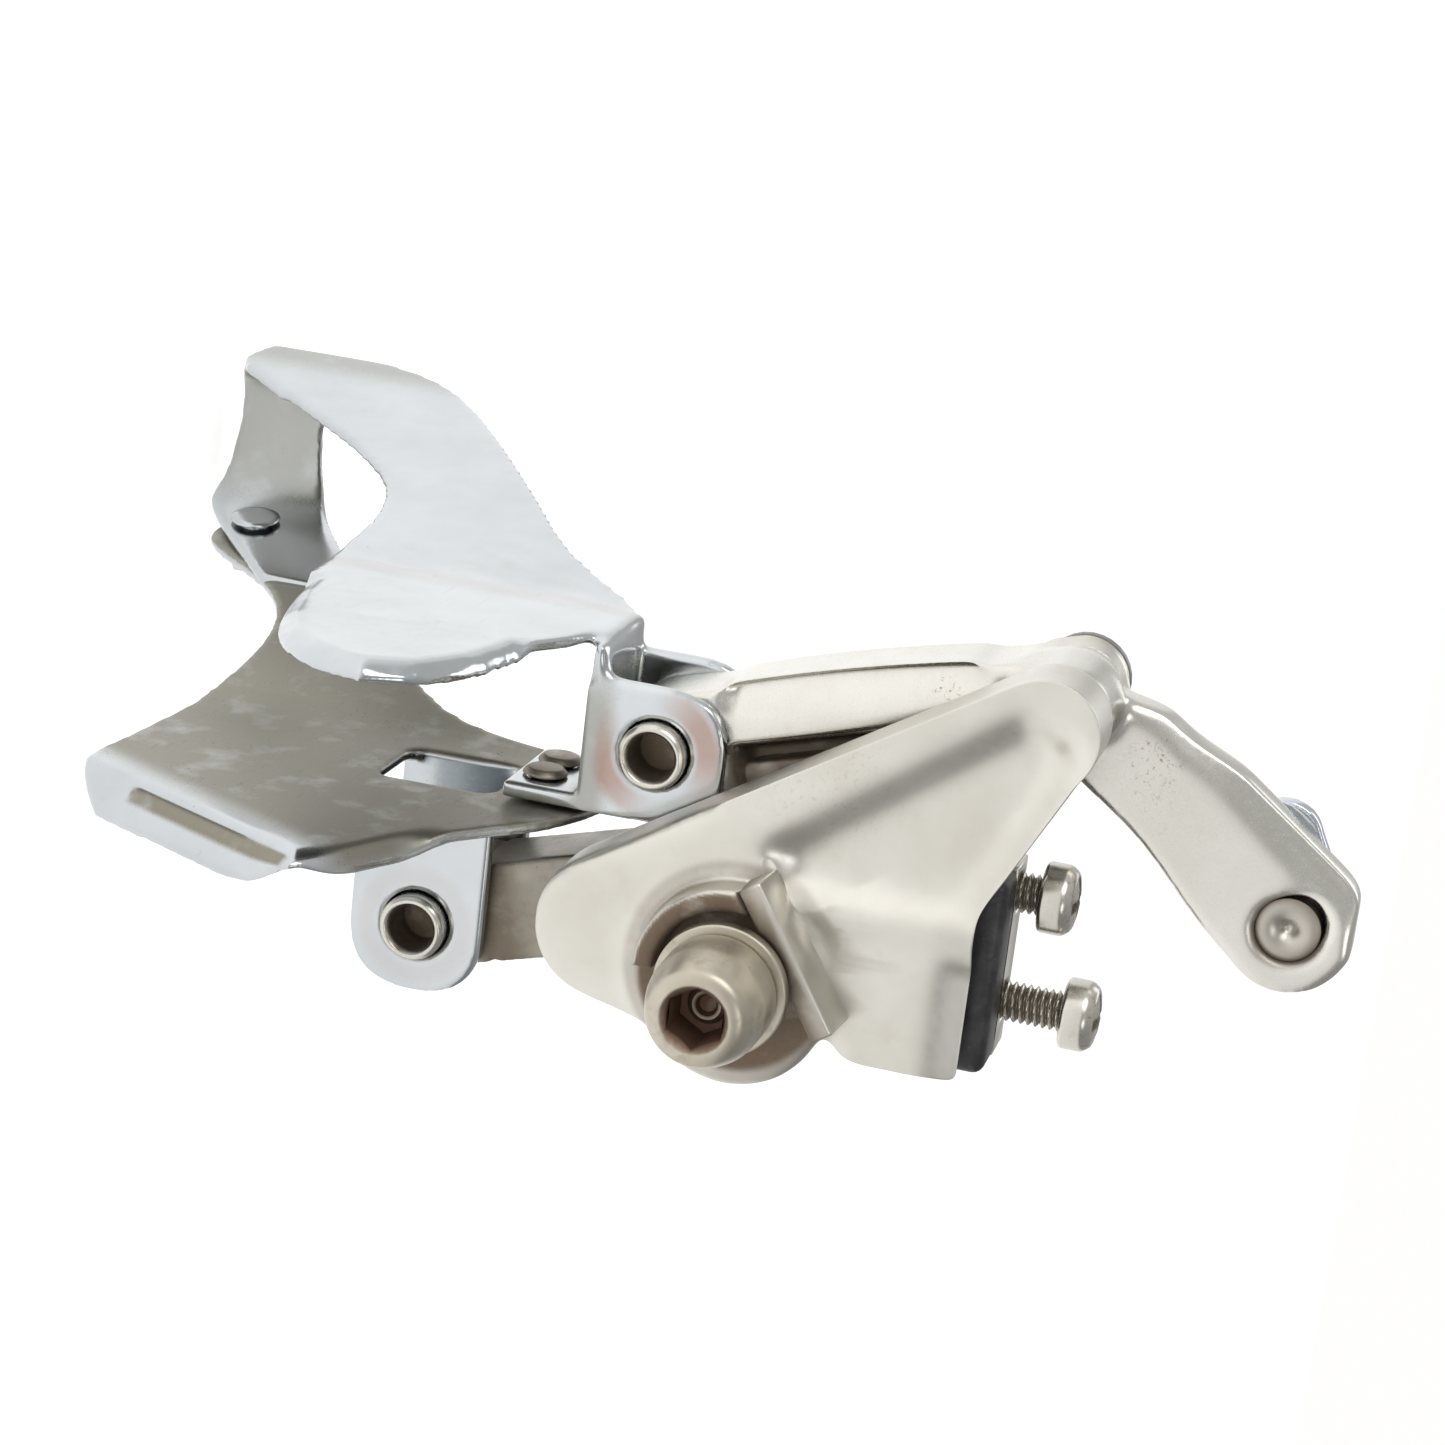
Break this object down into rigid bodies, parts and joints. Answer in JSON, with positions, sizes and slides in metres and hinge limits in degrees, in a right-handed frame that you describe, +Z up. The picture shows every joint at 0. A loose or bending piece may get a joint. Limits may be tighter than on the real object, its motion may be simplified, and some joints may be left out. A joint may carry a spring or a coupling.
{
  "type": "bicycle front derailleur",
  "caption": "Front derailleur for a road bicycle: a sprung parallelogram linkage that swings a bent steel chain cage sideways when a cable pulls its lever arm.",
  "frame": {"origin": "centre of the mounting bolt where it crosses the body's seat for the frame's tab", "axes": "+X forwards along the pivots and the mounting bolt, +Y to the bicycle's left (towards the frame), +Z up, as the part hangs on the bicycle"},
  "size_m": [0.096, 0.0483, 0.1371],
  "materials": {
    "cast_alloy": "satin silver casting, lightly soiled",
    "forged_alloy": "polished silver forging, fine scratches",
    "link_steel": "plated steel, dulled",
    "plain_steel": "nickel plated, slightly tarnished",
    "bolt_steel": "nickel plated, brown in the recesses",
    "spring_steel": "oiled spring steel",
    "black_plastic": "moulded, matte black",
    "cage_chrome": "chromed sheet, pitted and stained",
    "clamp_chrome": "chromed washer"
  },
  "bodies": {
    "body": {"body_casting": "cast_alloy", "screw_insert": "black_plastic", "pin_body_outer": "plain_steel", "pin_body_inner": "plain_steel", "clip_body_outer": "spring_steel", "clip_body_inner": "spring_steel", "spring_bush": "black_plastic", "return_spring": "spring_steel"},
    "mounting_bolt": {"mount_bolt": "bolt_steel", "mount_washer": "bolt_steel"},
    "low_screw": {"low_limit_screw": "plain_steel"},
    "high_screw": {"high_limit_screw": "plain_steel"},
    "outer_arm": {"outer_link": "forged_alloy"},
    "inner_arm": {"inner_link": "link_steel"},
    "cage": {"cage_outer_plate": "cage_chrome", "cage_inner_plate": "cage_chrome", "bridge_rivet_1": "plain_steel", "bridge_rivet_2": "plain_steel", "cage_tail_screw": "plain_steel", "cage_tail_nut": "plain_steel", "pin_cage_outer": "plain_steel", "pin_cage_inner": "plain_steel"},
    "cable_anchor": {"cable_anchor_bolt": "plain_steel", "cable_clamp": "clamp_chrome"}
  },
  "joints": [
    {"name": "outer_link_swing", "type": "hinge", "parent": "body", "child": "outer_arm", "pos_m": [-0.0152, -0.0276, 0.02516], "axis": [-1, 0, 0], "range_deg": [0, 17], "stiffness_Nm_per_rad": 0.6, "springref_deg": -20.05},
    {"name": "inner_link_swing", "type": "hinge", "parent": "body", "child": "inner_arm", "pos_m": [-0.0152, -0.00615, 0.00334], "axis": [-1, 0, 0], "range_deg": [0, 17], "deforming": ["return_spring"]},
    {"name": "cage_swing", "type": "hinge", "parent": "outer_arm", "child": "cage", "pos_m": [-0.0152, -0.0168, -0.012], "axis": [-1, 0, 0], "range_deg": [-17, 0]},
    {"name": "low_limit_screw_travel", "type": "slide", "parent": "body", "child": "low_screw", "axis": [0, 0, 1], "range_m": [0, 0.003]},
    {"name": "high_limit_screw_travel", "type": "slide", "parent": "body", "child": "high_screw", "axis": [0, 0, 1], "range_m": [0, 0.003]},
    {"name": "mount_bolt_travel", "type": "slide", "parent": "body", "child": "mounting_bolt", "axis": [1, 0, 0], "range_m": [0, 0.004]},
    {"name": "cable_clamp_travel", "type": "slide", "parent": "outer_arm", "child": "cable_anchor", "axis": [-1, 0, 0], "range_m": [0, 0.0015]}
  ],
  "couplings": [
    {"joint": "inner_link_swing", "follows": "outer_link_swing", "ratio": 1},
    {"joint": "cage_swing", "follows": "outer_link_swing", "ratio": -1}
  ]
}
